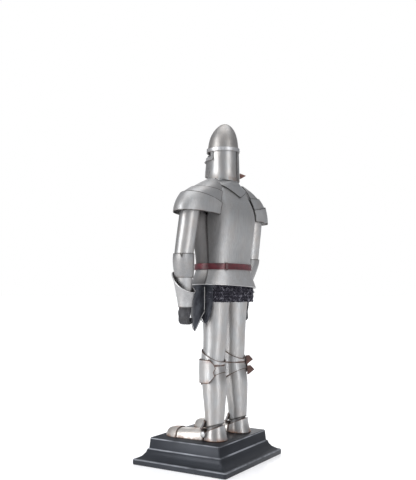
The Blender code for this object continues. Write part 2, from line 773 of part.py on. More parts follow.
def swept(path, sides):
    """A filled round rod through centres and radii, with a tip at each end."""
    centres = np.array([p[:3] for p in path], float)
    rings = []
    for i, row in enumerate(path):
        ahead = centres[min(i + 1, len(path) - 1)] - centres[max(i - 1, 0)]
        ahead /= np.linalg.norm(ahead)
        side = np.cross(ahead, np.array([0.0, 1.0, 0.0]))
        if np.linalg.norm(side) < 0.3:
            side = np.cross(ahead, np.array([1.0, 0.0, 0.0]))
        side /= np.linalg.norm(side)
        other = np.cross(ahead, side)
        ring = []
        for k in range(sides):
            a = 2.0 * math.pi * (k + 0.5) / sides
            ring.append(tuple(centres[i] + row[3] * (side * math.cos(a) + other * math.sin(a))))
        rings.append(ring)
    first = centres[0] + (centres[0] - centres[1]) / np.linalg.norm(centres[0] - centres[1]) * path[0][3] * 0.6
    last = centres[-1] + (centres[-1] - centres[-2]) / np.linalg.norm(centres[-1] - centres[-2]) * path[-1][3] * 0.6
    return filled(rings, tuple(first), tuple(last))


def finger_point(k, grooves):
    """Point k of 16 round the hand, as fractions of half thickness and half breadth."""
    quarter = k % 8
    quarter = 8 - quarter if quarter > 4 else quarter
    u, v = FINGER_OUTLINE[quarter]
    around = math.radians(22.5 * quarter)
    u = u * grooves + math.cos(around) * (1.0 - grooves)
    v = v * grooves + math.sin(around) * (1.0 - grooves)
    return (u if k % 16 < 4 or k % 16 > 12 else -u), (v if k % 16 <= 8 else -v)


def build_hands():
    """An open cuff end, a palm and four curled fingers as one skin, with the thumb joined on."""
    centres = np.array([(x, z) for x, z, _, _, _ in GLOVE_ROWS])
    along = np.gradient(centres, axis=0)
    along /= np.linalg.norm(along, axis=1, keepdims=True)
    outer = []
    for (x, z, thick, broad, grooves), (ax, az) in zip(GLOVE_ROWS, along):
        line = []
        for k in range(16):
            u, v = finger_point(-k % 16, grooves)
            line.append((x - az * u * thick, GLOVE_Y + v * broad, z + ax * u * thick))
        outer.append(line)
    outer = np.array(outer)
    inner = set_in(outer, GLOVE_WALL, True)[:HOLLOW_ROWS]
    first = len(outer) * 16
    size = first + len(inner) * 16
    points = list(outer.reshape(-1, 3)) + list(inner.reshape(-1, 3))
    points += [outer[-1].mean(axis=0) + np.array([0.0, 0.0, 0.8]), inner[-1].mean(axis=0) - np.array([0.0, 0.0, 1.0])]
    faces = []
    for j in range(16):
        k = (j + 1) % 16
        for i in range(len(outer) - 1):
            faces.append((i * 16 + j, i * 16 + k, i * 16 + 16 + k, i * 16 + 16 + j))
        for i in range(len(inner) - 1):
            a = first + i * 16
            faces.append((a + j, a + 16 + j, a + 16 + k, a + k))
        faces.append((first - 16 + j, first - 16 + k, size))
        faces.append((size - 16 + k, size - 16 + j, size + 1))
        faces.append((k, j, first + j, first + k))
    glove = add_object("left_gauntlet_glove", points, faces, "glove")
    boolean(glove, "UNION", cutter(*swept(THUMB_PATH, 8)))
    other = glove.copy()
    other.data = glove.data.copy()
    other.name = "right_gauntlet_glove"
    for vertex in other.data.vertices:
        vertex.co.x = -vertex.co.x
    other.data.flip_normals()
    other.data.materials.clear()
    other.data.materials.append(material("right_gauntlet_glove_mat", *LOOKS["glove"]))
    bpy.context.scene.collection.objects.link(other)


def build_legs():
    angles = full_turn(LEG_COLUMNS)
    pair("cuisse", *wall(tube_grid(CUISSE_ROWS, angles), LIGHT_PLATE, True), "steel")
    rows = [(*row, GREAVE_FOOT_TILT if i == 0 else 0.0) for i, row in enumerate(GREAVE_ROWS)]
    pair("greave", *wall(tube_grid(rows, angles), LIGHT_PLATE, True), "steel")
    pair("knee_upper_lame", *wall(tube_grid(KNEE_UPPER_ROWS, angles), LIGHT_PLATE, True), "steel")
    pair("knee_lower_lame", *wall(tube_grid(KNEE_LOWER_ROWS, angles), LIGHT_PLATE, True), "steel")
    build_poleyns()


def build_poleyns():
    grid = []
    for z, bulge, spread, wing in POLEYN_ROWS:
        line = []
        for angle in np.linspace(-90.0 - spread, -90.0 + spread + wing, 13):
            rx, ry = POLEYN_HALF
            cx, cy = POLEYN_CENTRE
            ahead = max(0.0, math.cos(math.radians(min(90.0, abs(angle + 90.0)))))
            lift = 0.4 + bulge * ahead ** 1.5 + WING_FLARE * max(0.0, math.sin(math.radians(angle + 4.0)))
            x, y = round_point(angle, rx + lift, ry + lift)
            line.append((cx + x, cy + y, z))
        grid.append(line)
    pair("poleyn", *wall(grid, LIGHT_PLATE, False), "steel")


def arch(depth, centre, half, top, wall_in, columns=13):
    """An arch from the outer side over the top to the inner side."""
    line = []
    half, rise = half - wall_in, top - wall_in - FOOT_BOTTOM
    for k in range(columns):
        x, z = round_point(180.0 * k / (columns - 1), half, rise, 2.5)
        line.append((centre + x, depth, FOOT_BOTTOM + max(z, 0.0)))
    return line


def build_feet():
    outer = np.array([arch(*row, 0.0) for row in FOOT_ROWS])
    inner = np.array([arch(*row, LIGHT_PLATE) for row in FOOT_ROWS])
    pair("sabaton", *skins(outer, inner, False), "steel")
    outer = np.array([arch(*row, 0.0) for row in TOE_ROWS])
    inner = np.array([arch(*row, LIGHT_PLATE) for row in TOE_ROWS])
    tips = np.array(TOE_TIP), np.array(TOE_TIP) + np.array([0.0, LIGHT_PLATE + 0.6, 0.0])
    pair("toe_cap", *skins(outer, inner, False, *tips), "steel")
    grid = tube_grid(GUARD_ROWS, np.linspace(-150.0, -30.0, 9))
    pair("ankle_guard", *wall(grid, LIGHT_PLATE, False), "steel")
    grid = tube_grid(HEEL_ROWS, np.linspace(HEEL_FROM, HEEL_TO, 13))
    pair("heel_plate", *wall(grid, LIGHT_PLATE, False), "steel")
    x, y, z = DISC_CENTRE
    rings = []
    for out, radius in ((0.0, DISC_RADIUS), (DISC_THICK - 0.6, DISC_RADIUS), (DISC_THICK, DISC_RADIUS - 0.8)):
        ring = []
        for k in range(16):
            a = math.radians(22.5 * k)
            ring.append((x + out, y + radius * math.cos(a), z + radius * math.sin(a)))
        rings.append(ring)
    pair("ankle_disc", *filled(rings), "steel")


def strap_end(name, root, outline):
    """A flat strap end: outline points are distance out and height from the root."""
    turn = math.radians(STRAP_DIRECTION)
    ahead = np.array([math.cos(turn), math.sin(turn), 0.0])
    side = np.array([-ahead[1], ahead[0], 0.0]) * STRAP_THICK / 2.0
    rings = []
    for sign in (-1.0, 1.0):
        rings.append([np.array(root) + ahead * out + np.array([0.0, 0.0, up]) - sign * side for out, up in outline])
    add_object(name, *filled(rings), "strap")


def build_strap_ends():
    for name, *root in KNEE_STRAPS:
        strap_end(name, root, KNEE_STRAP_OUTLINE)
    strap_end("helm_strap_end", HELM_STRAP_ROOT, HELM_STRAP_OUTLINE)


remove_all()
build_plinth()
build_cuirass()
build_fauld()
build_mail()
build_tassets()
build_belt()
build_belt_metal()
build_helm()
build_gorget()
build_pauldrons()
build_arms()
build_hands()
build_legs()
build_feet()
build_strap_ends()
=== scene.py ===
"""Looks of the miniature suit of plate armour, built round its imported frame.

Each solid of the frame gets a finer copy of itself with its finish, and the mail, rolled rims, rivets and
ankle linings are added. Lengths in the tables are millimetres. The figure faces -Y and its left side is +X.
"""

import math
import random

import bmesh
import bpy
import numpy as np
from mathutils import Matrix, Vector
from mathutils.kdtree import KDTree


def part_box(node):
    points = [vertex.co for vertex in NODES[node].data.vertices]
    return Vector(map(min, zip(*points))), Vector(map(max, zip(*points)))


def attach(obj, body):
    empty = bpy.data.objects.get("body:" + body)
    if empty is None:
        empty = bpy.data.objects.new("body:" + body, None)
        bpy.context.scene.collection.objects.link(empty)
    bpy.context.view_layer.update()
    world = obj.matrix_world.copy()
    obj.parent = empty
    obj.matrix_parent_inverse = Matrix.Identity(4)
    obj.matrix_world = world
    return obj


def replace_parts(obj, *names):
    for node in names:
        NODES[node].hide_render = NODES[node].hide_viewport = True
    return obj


MM = 0.001
BODY_Y = 30.0  # the body's middle in depth
HELM_Y = 29.8  # the helm's middle in depth

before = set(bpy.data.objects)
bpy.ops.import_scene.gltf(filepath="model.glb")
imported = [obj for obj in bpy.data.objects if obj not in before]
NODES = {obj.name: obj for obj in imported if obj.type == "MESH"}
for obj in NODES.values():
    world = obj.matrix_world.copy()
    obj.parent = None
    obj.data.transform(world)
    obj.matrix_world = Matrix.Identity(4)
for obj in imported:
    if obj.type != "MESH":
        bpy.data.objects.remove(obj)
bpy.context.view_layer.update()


def linear(code):
    """Linear colour of an sRGB hex code."""
    values = [int(code[k:k + 2], 16) / 255.0 for k in (1, 3, 5)]
    return (*[v / 12.92 if v <= 0.04045 else ((v + 0.055) / 1.055) ** 2.4 for v in values], 1.0)


# Camera and light

CAMERA_TURN = 121.4
CAMERA_DISTANCE = 1.227
CAMERA_HEIGHT = 0.2946
CAMERA_UP = 4.66
CAMERA_YAW = -0.11
CAMERA_LENS = 50.0
CAMERA_SENSOR = 36.0


def build_camera():
    turn, up, yaw = (math.radians(v) for v in (CAMERA_TURN, CAMERA_UP, CAMERA_YAW))
    back = Vector((math.sin(turn), -math.cos(turn), 0.0))
    right = Vector((math.cos(turn), math.sin(turn), 0.0))
    level = math.sin(yaw) * right - math.cos(yaw) * back
    ahead = math.cos(up) * level + Vector((0.0, 0.0, math.sin(up)))
    camera = bpy.data.cameras.new("camera")
    camera.sensor_fit = "VERTICAL"
    camera.sensor_height = CAMERA_SENSOR
    camera.lens = CAMERA_LENS
    holder = bpy.data.objects.new("camera", camera)
    holder.location = back * CAMERA_DISTANCE + Vector((0.0, 0.0, CAMERA_HEIGHT))
    holder.rotation_euler = ahead.to_track_quat("-Z", "Y").to_euler()
    bpy.context.scene.collection.objects.link(holder)
    bpy.context.scene.camera = holder


# Soft boxes: turn seen from above, height, distance, width, tall, power
SOFT_BOXES = (
    (64.0, 0.75, 1.5, 0.6, 1.5, 17.0),
    (155.0, 0.55, 1.6, 0.5, 1.5, 9.0),
    (300.0, 0.9, 1.8, 1.0, 1.4, 5.0),
)
TOP_BOX_PLACE = (0.1, 0.1, 1.7)
TOP_BOX_SIDE = 1.4
TOP_BOX_POWER = 12.0
LIGHT_TARGET = (0.0, 0.0, 0.3)
# Grey surround that the steel mirrors: share of the height from below to above, colour
SURROUND_LOW = (0.30, (0.52, 0.52, 0.53, 1.0))
SURROUND_MIDDLE = (0.52, (0.30, 0.31, 0.33, 1.0))
SURROUND_HIGH = (0.85, (0.66, 0.67, 0.70, 1.0))
SURROUND_STRENGTH = 0.8


def area_light(name, place, width, tall, power):
    light = bpy.data.lights.new(name, "AREA")
    light.shape = "RECTANGLE"
    light.size = width
    light.size_y = tall
    light.energy = power
    holder = bpy.data.objects.new(name, light)
    holder.location = place
    holder.rotation_euler = (Vector(LIGHT_TARGET) - Vector(place)).to_track_quat("-Z", "Y").to_euler()
    bpy.context.scene.collection.objects.link(holder)


def build_light():
    """White behind the suit for the camera, a soft grey surround for everything else, and four soft boxes."""
    world = bpy.data.worlds.new("studio")
    world.use_nodes = True
    bpy.context.scene.world = world
    nodes, links = world.node_tree.nodes, world.node_tree.links
    backdrop = nodes["Background"]
    backdrop.inputs["Color"].default_value = (1.0, 1.0, 1.0, 1.0)
    backdrop.inputs["Strength"].default_value = 1.0
    around = nodes.new("ShaderNodeBackground")
    place = nodes.new("ShaderNodeTexCoord")
    split = nodes.new("ShaderNodeSeparateXYZ")
    ramp = nodes.new("ShaderNodeValToRGB")
    links.new(place.outputs["Generated"], split.inputs[0])
    lift = nodes.new("ShaderNodeMath")
    lift.operation = "MULTIPLY_ADD"
    lift.inputs[1].default_value = 0.5
    lift.inputs[2].default_value = 0.5
    links.new(split.outputs["Z"], lift.inputs[0])
    links.new(lift.outputs[0], ramp.inputs[0])
    stops = ramp.color_ramp.elements
    stops[0].position, stops[0].color = SURROUND_LOW
    stops[1].position, stops[1].color = SURROUND_HIGH
    stops.new(SURROUND_MIDDLE[0]).color = SURROUND_MIDDLE[1]
    links.new(ramp.outputs["Color"], around.inputs["Color"])
    around.inputs["Strength"].default_value = SURROUND_STRENGTH
    path = nodes.new("ShaderNodeLightPath")
    mix = nodes.new("ShaderNodeMixShader")
    links.new(path.outputs["Is Camera Ray"], mix.inputs[0])
    links.new(around.outputs[0], mix.inputs[1])
    links.new(backdrop.outputs[0], mix.inputs[2])
    links.new(mix.outputs[0], nodes["World Output"].inputs["Surface"])
    for i, (turn, height, away, width, tall, power) in enumerate(SOFT_BOXES):
        a = math.radians(turn)
        place = (math.sin(a) * away, -math.cos(a) * away, height)
        area_light(f"soft_box_{i}", place, width, tall, power)
    area_light("top_box", TOP_BOX_PLACE, TOP_BOX_SIDE, TOP_BOX_SIDE, TOP_BOX_POWER)
    bpy.context.scene.view_settings.view_transform = "Standard"


FLOOR_HALF = 60.0
FLOOR_LEVEL = -0.0005
# Painted light: the floor glows by emission, weaker near the plinth, so that it meets the white behind it:
# distances in metres and strengths there
FLOOR_PAINTED_GLOW = (0.16, 0.9, 0.50, 0.95)


def build_floor():
    """White paper sweep with a faint sheen, so that the plinth is softly mirrored in it, and a painted glow
    that is weaker near the plinth.
    """
    corners = ((-1.0, -1.0), (1.0, -1.0), (1.0, 1.0), (-1.0, 1.0))
    mesh = bpy.data.meshes.new("floor")
    mesh.from_pydata([(x * FLOOR_HALF, y * FLOOR_HALF, FLOOR_LEVEL) for x, y in corners], [], [(0, 1, 2, 3)])
    floor = bpy.data.objects.new("floor", mesh)
    bpy.context.scene.collection.objects.link(floor)
    paper = bpy.data.materials.new("white_paper_floor")
    paper.use_nodes = True
    shader = paper.node_tree.nodes["Principled BSDF"]
    shader.inputs["Base Color"].default_value = linear("#cbcbce")
    shader.inputs["Roughness"].default_value = 0.24
    shader.inputs["Emission Color"].default_value = (1.0, 1.0, 1.0, 1.0)
    tree = paper.node_tree
    place = tree.nodes.new("ShaderNodeTexCoord")
    away = tree.nodes.new("ShaderNodeVectorMath")
    away.operation = "LENGTH"
    # Painted light: emission that grows with distance from the plinth, so the floor fades into the white
    # behind it
    glow = tree.nodes.new("ShaderNodeMapRange")
    for key, value in zip(("From Min", "From Max", "To Min", "To Max"), FLOOR_PAINTED_GLOW):
        glow.inputs[key].default_value = value
    tree.links.new(place.outputs["Object"], away.inputs[0])
    tree.links.new(away.outputs["Value"], glow.inputs["Value"])
    tree.links.new(glow.outputs["Result"], shader.inputs["Emission Strength"])
    mesh.materials.append(paper)


# Materials: every pattern is on the piece's own place in metres. The patterns' scales are repeats per metre
# on X, Y and Z, from the real sizes in their comments.

BRUSH_LINES = (900.0, 900.0, 26.0)  # brushed lines 1.1 mm apart: real ones are 0.1 mm, too fine to show
HAMMER_DENTS = (38.0, 38.0, 30.0)  # shallow dents of a 26 mm planishing hammer
STEEL_PATCHES = (62.0, 62.0, 44.0)  # patches of handling and rust, 16 to 23 mm
RUST_SPECKS = (420.0, 420.0, 300.0)  # rust specks, 2 to 3 mm
OXIDE_PATCHES = (90.0, 90.0, 60.0)  # clouds in the black oxide, 11 to 17 mm
OXIDE_LINES = (700.0, 700.0, 60.0)  # file marks under the oxide, 1.4 mm apart
RUBBED_LEATHER = (70.0, 70.0, 90.0)  # rubbed patches, 11 to 14 mm
WOOD_GRAIN = (24.0, 260.0, 260.0)  # grain 4 mm wide that runs along X
LACQUER_CLOUDS = (20.0, 20.0, 30.0)  # dust and wear in the lacquer, 33 to 50 mm
WIRE_WEAR = (210.0, 210.0, 210.0)  # about one ring in two is rubbed bright, 5 mm apart
WEAVE_THREADS = 260.0  # threads about 0.8 mm apart
SATIN = 0.12  # added to every steel's roughness: the plates are satin, not mirrors
RUST = "#8a5431"
# Tones of the dark rim lines: painted shade of the gaps between plates, mixed with old oil and with old rust
OIL_AND_GAP_SHADE = "#2b2623"
RUST_AND_GAP_SHADE = "#4f3424"

class Look:
    """A node-based material with short ways to add and join its nodes."""

    def __init__(self, name):
        self.material = bpy.data.materials.new(name)
        self.material.use_nodes = True
        self.tree = self.material.node_tree
        self.shader = self.tree.nodes["Principled BSDF"]
        self.place = self.add("ShaderNodeTexCoord").outputs["Object"]

    def add(self, kind, values=(), **settings):
        node = self.tree.nodes.new(kind)
        for key, value in settings.items():
            setattr(node, key, value)
        for key, value in dict(values).items():
            if isinstance(value, bpy.types.NodeSocket):
                self.tree.links.new(value, node.inputs[key])
            else:
                node.inputs[key].default_value = value
        return node

    def set(self, **inputs):
        for key, value in inputs.items():
            socket = self.shader.inputs[key.replace("_", " ").title().replace("Ior", "IOR")]
            if isinstance(value, bpy.types.NodeSocket):
                self.tree.links.new(value, socket)
            else:
                socket.default_value = value

    def noise(self, repeats, detail=3.0, rough=0.55):
        """Soft noise with this many repeats per metre on each axis."""
        place = self.add("ShaderNodeMapping", {"Vector": self.place, "Scale": repeats}).outputs[0]
        values = {"Vector": place, "Scale": 1.0, "Detail": detail, "Roughness": rough}
        return self.add("ShaderNodeTexNoise", values).outputs["Fac"]

    def band(self, value, low, high, out_low=0.0, out_high=1.0):
        """Value between low and high turned to between out_low and out_high, and held there outside."""
        values = {"Value": value, "From Min": low, "From Max": high, "To Min": out_low, "To Max": out_high}
        return self.add("ShaderNodeMapRange", values).outputs["Result"]

    def math(self, operation, a, b):
        return self.add("ShaderNodeMath", {0: a, 1: b}, operation=operation).outputs[0]

    def mixed(self, factor, a, b):
        return self.add("ShaderNodeMix", {0: factor, 6: a, 7: b}, data_type="RGBA").outputs[2]

    def bump(self, height, depth_mm, onto=None):
        values = {"Height": height, "Strength": 1.0, "Distance": depth_mm * MM}
        if onto is not None:
            values["Normal"] = onto
        return self.add("ShaderNodeBump", values).outputs[0]


def steel(name, low_z, high_z, base="#a9aaab", rust=0.35, rust_low=8.0, rust_high=3.0, warm=0.12, rough=0.30,
          rim_soil_and_shade=0.0, rim_soil_and_shade_tone=OIL_AND_GAP_SHADE, flank_shade=None):
    """Mild steel sheet, brushed to a satin: long soft highlights broken by upright lines and shallow dents.

    Light rust creeps in from the low and high edges. The rim strength sets a dark line along the plate's
    rims, painted shade of the gaps between plates mixed with old oil and rust. The flank shade is painted
    shade that darkens a plate
    towards its sides under the arms: from X, to X, how much.
    """
    look = Look(name)
    brush = look.noise(BRUSH_LINES, 4.0, 0.6)
    dents = look.noise(HAMMER_DENTS, 2.0, 0.4)
    blotch = look.noise(STEEL_PATCHES, 4.0, 0.62)
    speck = look.noise(RUST_SPECKS, 3.0, 0.7)
    place = look.add("ShaderNodeSeparateXYZ", {0: look.place}).outputs
    near_low = look.band(place["Z"], low_z * MM, (low_z + rust_low) * MM, 1.0, 0.0)
    near_high = look.band(place["Z"], (high_z - rust_high) * MM, high_z * MM, 0.0, 0.8)
    worn = look.math("MULTIPLY", look.math("MAXIMUM", near_low, near_high), look.band(blotch, 0.42, 0.66))
    spots = look.math("MULTIPLY", look.band(speck, 0.63, 0.74), look.band(blotch, 0.48, 0.62))
    amount = look.math("MULTIPLY", look.math("ADD", worn, look.math("MULTIPLY", spots, 0.5)), rust)
    dull = (*[0.8 * v for v in linear(base)[:3]], 1.0)
    tone = look.mixed(look.band(brush, 0.3, 0.7), linear(base), dull)
    handled = look.math("MULTIPLY", look.band(blotch, 0.35, 0.75), warm * 2.0)
    tone = look.mixed(handled, tone, linear("#a39384"))
    tone = look.mixed(amount, tone, linear(RUST))
    # Painted shade: dark lines along the plate's rims stand in for the shadowed gaps between plates, mixed
    # with old oil and rust
    if rim_soil_and_shade:
        rim = look.add("ShaderNodeAttribute", attribute_name="rim").outputs["Fac"]
        patchy = look.band(blotch, 0.25, 0.50, 0.45 * rim_soil_and_shade, rim_soil_and_shade)
        rim_soil_and_shade_mask = look.math("MULTIPLY", look.band(rim, 0.35, 0.80), patchy)
        tone = look.mixed(rim_soil_and_shade_mask, tone, linear(rim_soil_and_shade_tone))
        amount = look.math("MAXIMUM", amount, look.math("MULTIPLY", rim_soil_and_shade_mask, 0.7))
    # Painted shade: the plate darkens towards its sides, where the arms shade it
    if flank_shade is not None:
        across = look.math("ABSOLUTE", place["X"], 0.0)
        shade = look.band(across, flank_shade[0] * MM, flank_shade[1] * MM, 0.0, flank_shade[2])
        tone = look.mixed(shade, tone, linear("#2e2b2b"))
    brushed = look.band(brush, 0.25, 0.8, rough + SATIN - 0.05, rough + SATIN + 0.10)
    look.set(base_color=tone, metallic=look.band(amount, 0.0, 1.0, 0.93, 0.35),
             roughness=look.math("ADD", brushed, look.math("MULTIPLY", amount, 0.4)))
    look.set(normal=look.bump(brush, 0.028, look.bump(dents, 1.1)))
    return look.material


def blackened(name):
    """Blackened steel: dark blue-grey oxide with a soft sheen, rubbed to bare metal along the file marks."""
    look = Look(name)
    blotch = look.noise(OXIDE_PATCHES, 4.0)
    brush = look.noise(OXIDE_LINES, 3.0)
    tone = look.mixed(look.band(blotch, 0.35, 0.7), linear("#2b2d33"), linear("#4a4c52"))
    tone = look.mixed(look.band(brush, 0.62, 0.8, 0.0, 0.5), tone, linear("#7b7d82"))
    look.set(base_color=tone, metallic=0.85, roughness=look.band(brush, 0.2, 0.8, 0.28, 0.46))
    look.set(normal=look.bump(brush, 0.04, look.bump(blotch, 0.5)))
    return look.material


def leather(name, dark, light, grain=900.0, depth=0.09, rough=0.42):
    """Dyed cowhide: pebbled grain, paler and smoother where it is rubbed. grain is pebbles per metre."""
    look = Look(name)
    cells = look.add("ShaderNodeTexVoronoi", {"Vector": look.place, "Scale": grain}).outputs["Distance"]
    rubbed = look.noise(RUBBED_LEATHER, 4.0)
    tone = look.mixed(look.band(rubbed, 0.38, 0.68), linear(dark), linear(light))
    look.set(base_color=tone, roughness=look.band(rubbed, 0.3, 0.7, rough + 0.08, rough - 0.08))
    look.set(normal=look.bump(cells, depth, look.bump(rubbed, 0.25)))
    return look.material


LACQUER_EDGES = (8.6, 26.1, 43.6)  # heights of the plinth's mouldings, where a light line is painted: edge highlight and rubbed lacquer
WORN_AND_HIGHLIT_EDGE = (0.5, 1.2)  # the light line is full to the first distance from the edge and gone at the second


def lacquer(name):
    """Black satin lacquer on wood: faint grain under the film, light lines along its edges that are painted
    highlight with rubbed lacquer.
    """
    look = Look(name)
    grain = look.noise(WOOD_GRAIN, 4.0, 0.6)
    cloud = look.noise(LACQUER_CLOUDS, 3.0)
    tone = look.mixed(look.band(cloud, 0.3, 0.75), linear("#121418"), linear("#1e2126"))
    height = look.add("ShaderNodeSeparateXYZ", {0: look.place}).outputs["Z"]
    # Painted highlight with wear: light lines at the mouldings' edges, patchy where the lacquer is rubbed
    for edge in LACQUER_EDGES:
        away = look.math("ABSOLUTE", look.math("SUBTRACT", height, edge * MM), 0.0)
        line = look.band(away, WORN_AND_HIGHLIT_EDGE[0] * MM, WORN_AND_HIGHLIT_EDGE[1] * MM, 1.0, 0.0)
        rubbed = look.math("MULTIPLY", line, look.band(cloud, 0.30, 0.62))
        tone = look.mixed(rubbed, tone, linear("#8d9096"))
    look.set(base_color=tone, roughness=look.band(grain, 0.2, 0.8, 0.34, 0.46))
    look.shader.inputs["Specular IOR Level"].default_value = 0.45
    look.shader.inputs["Specular Tint"].default_value = linear("#eef3ff")
    look.set(normal=look.bump(grain, 0.05))
    return look.material


# Meshes

CREASE_ANGLE = 38.0  # degrees between faces from which an edge of a plate stays sharp
MERGE_WITHIN = 2e-6


def link(name, mesh, look):
    """A finished piece of this mesh, which rides on the one body."""
    piece = bpy.data.objects.new(name, mesh)
    bpy.context.scene.collection.objects.link(piece)
    mesh.materials.clear()
    mesh.materials.append(look)
    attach(piece, "root")
    return piece


def smoothed(node, levels, crease_angle=CREASE_ANGLE):
    """A finer copy of a node's mesh: triangles joined, sharp rims kept, the rest rounded."""
    work = bmesh.new()
    work.from_mesh(NODES[node].data)
    bmesh.ops.remove_doubles(work, verts=work.verts, dist=MERGE_WITHIN)
    bmesh.ops.join_triangles(work, faces=work.faces, angle_face_threshold=math.radians(30.0),
                             angle_shape_threshold=math.radians(60.0), cmp_sharp=False, cmp_uvs=False)
    crease = work.edges.layers.float.new("crease_edge")
    for edge in work.edges:
        if len(edge.link_faces) == 2 and edge.calc_face_angle(0.0) > math.radians(crease_angle):
            edge[crease] = 1.0
    mesh = bpy.data.meshes.new(node + "_fine")
    work.to_mesh(mesh)
    work.free()
    if levels:
        mesh = divided(mesh, levels)
    mesh.shade_smooth()
    mesh.set_sharp_from_angle(angle=math.radians(crease_angle))
    mark_rims(mesh)
    return mesh


RIM_REACH = 2.4 * MM


def mark_rims(mesh):
    """Stores how near each point is to a sharp rim, for the steel's dark lines of painted gap shade and old
    oil: 1 on it, 0 at RIM_REACH.
    """
    count = len(mesh.vertices)
    places = np.empty(3 * count)
    mesh.vertices.foreach_get("co", places)
    places = places.reshape(-1, 3)
    ends = np.empty(2 * len(mesh.edges), np.int64)
    mesh.edges.foreach_get("vertices", ends)
    sharp = np.zeros(len(mesh.edges), bool)
    if "sharp_edge" in mesh.attributes:
        mesh.attributes["sharp_edge"].data.foreach_get("value", sharp)
    rims = np.unique(ends.reshape(-1, 2)[sharp])
    near = np.zeros(count)
    if len(rims):
        tree = KDTree(len(rims))
        for k, place in enumerate(places[rims]):
            tree.insert(place, k)
        tree.balance()
        away = np.array([tree.find(place)[2] for place in places])
        near = np.clip(1.0 - away / RIM_REACH, 0.0, 1.0)
    mesh.attributes.new("rim", "FLOAT", "POINT").data.foreach_set("value", near)


def divided(mesh, levels):
    """The mesh rounded between its creases."""
    holder = bpy.data.objects.new("dividing", mesh)
    bpy.context.scene.collection.objects.link(holder)
    step = holder.modifiers.new("round", "SUBSURF")
    step.levels = step.render_levels = levels
    graph = bpy.context.evaluated_depsgraph_get()
    made = bpy.data.meshes.new_from_object(holder.evaluated_get(graph))
    bpy.data.objects.remove(holder, do_unlink=True)
    return made


def rod(points, radius, sides=8, closed=False):
    """Points and faces of a round rod along a path, flat at both ends; a closed rod joins its ends."""
    path = np.array(points, float)
    count = len(path)
    rings = []
    up = np.array([0.0, 0.0, 1.0])
    for i in range(count):
        if closed:
            ahead = path[(i + 1) % count] - path[i - 1]
        else:
            ahead = path[min(i + 1, count - 1)] - path[max(i - 1, 0)]
        ahead = ahead / np.linalg.norm(ahead)
        side = np.cross(ahead, up)
        if np.linalg.norm(side) < 0.2:
            side = np.cross(ahead, np.array([0.0, 1.0, 0.0]))
        side /= np.linalg.norm(side)
        other = np.cross(side, ahead)
        turn = 2.0 * math.pi * np.arange(sides) / sides
        rings.append(path[i] + radius * (np.outer(np.cos(turn), side) + np.outer(np.sin(turn), other)))
    verts = list(np.concatenate(rings))
    faces = []
    for i in range(count if closed else count - 1):
        j = (i + 1) % count
        for k in range(sides):
            m = (k + 1) % sides
            faces.append((i * sides + k, j * sides + k, j * sides + m, i * sides + m))
    if not closed:
        faces.append(tuple(range(sides)))
        faces.append(tuple(range((count - 1) * sides, count * sides))[::-1])
    return verts, faces


def mesh_of(name, parts):
    """One mesh from several lots of points in millimetres and faces."""
    verts, faces = [], []
    for points, shapes in parts:
        start = len(verts)
        verts += [tuple(np.asarray(p) * MM) for p in points]
        faces += [tuple(start + k for k in face) for face in shapes]
    mesh = bpy.data.meshes.new(name)
    mesh.from_pydata(verts, [], faces)
    mesh.validate()
    work = bmesh.new()
    work.from_mesh(mesh)
    bmesh.ops.recalc_face_normals(work, faces=work.faces)
    work.to_mesh(mesh)
    work.free()
    mesh.shade_smooth()
    mesh.set_sharp_from_angle(angle=math.radians(50.0))
    return mesh


def closed_wall(outer, inner):
    """Points and faces of a wall between two upright skins, each a list of closed rings from low to high."""
    rows, columns = len(outer), len(outer[0])
    points = [point for skin in (outer, inner) for ring in skin for point in ring]
    size = rows * columns
    top = size - columns
    faces = []
    for j in range(columns):
        k = (j + 1) % columns
        for a in range(0, top, columns):
            faces.append((a + j, a + k, a + columns + k, a + columns + j))
            faces.append((size + a + j, size + a + columns + j, size + a + columns + k, size + a + k))
        faces.append((k, j, size + j, size + k))
        faces.append((top + j, top + k, size + top + k, size + top + j))
    return points, faces


def repeat_tree(name):
    """Geometry Nodes that put a shape on every point, turned by the point's own turn, all in one mesh."""
    tree = bpy.data.node_groups.new(name, "GeometryNodeTree")
    sockets = {"Points": "NodeSocketGeometry", "Shape": "NodeSocketObject", "Size": "NodeSocketFloat",
               "Finish": "NodeSocketMaterial"}
    inputs = {key: tree.interface.new_socket(key, in_out="INPUT", socket_type=kind).identifier
              for key, kind in sockets.items()}
    tree.interface.new_socket("Pieces", in_out="OUTPUT", socket_type="NodeSocketGeometry")
    into, out = tree.nodes.new("NodeGroupInput"), tree.nodes.new("NodeGroupOutput")
    points = tree.nodes.new("GeometryNodeMeshToPoints")
    source = tree.nodes.new("GeometryNodeObjectInfo")
    spread = tree.nodes.new("GeometryNodeInstanceOnPoints")
    named = tree.nodes.new("GeometryNodeInputNamedAttribute")
    named.data_type = "FLOAT_VECTOR"
    named.inputs["Name"].default_value = "turn"
    euler = tree.nodes.new("FunctionNodeEulerToRotation")
    real = tree.nodes.new("GeometryNodeRealizeInstances")
    paint = tree.nodes.new("GeometryNodeSetMaterial")
    join = tree.links.new
    join(into.outputs["Points"], points.inputs["Mesh"])
    join(into.outputs["Shape"], source.inputs["Object"])
    join(into.outputs["Size"], spread.inputs["Scale"])
    join(into.outputs["Finish"], paint.inputs["Material"])
    join(points.outputs[0], spread.inputs["Points"])
    join(source.outputs["Geometry"], spread.inputs["Instance"])
    join(named.outputs["Attribute"], euler.inputs[0])
    join(euler.outputs[0], spread.inputs["Rotation"])
    join(spread.outputs[0], real.inputs[0])
    join(real.outputs[0], paint.inputs["Geometry"])
    join(paint.outputs[0], out.inputs[0])
    return tree, inputs


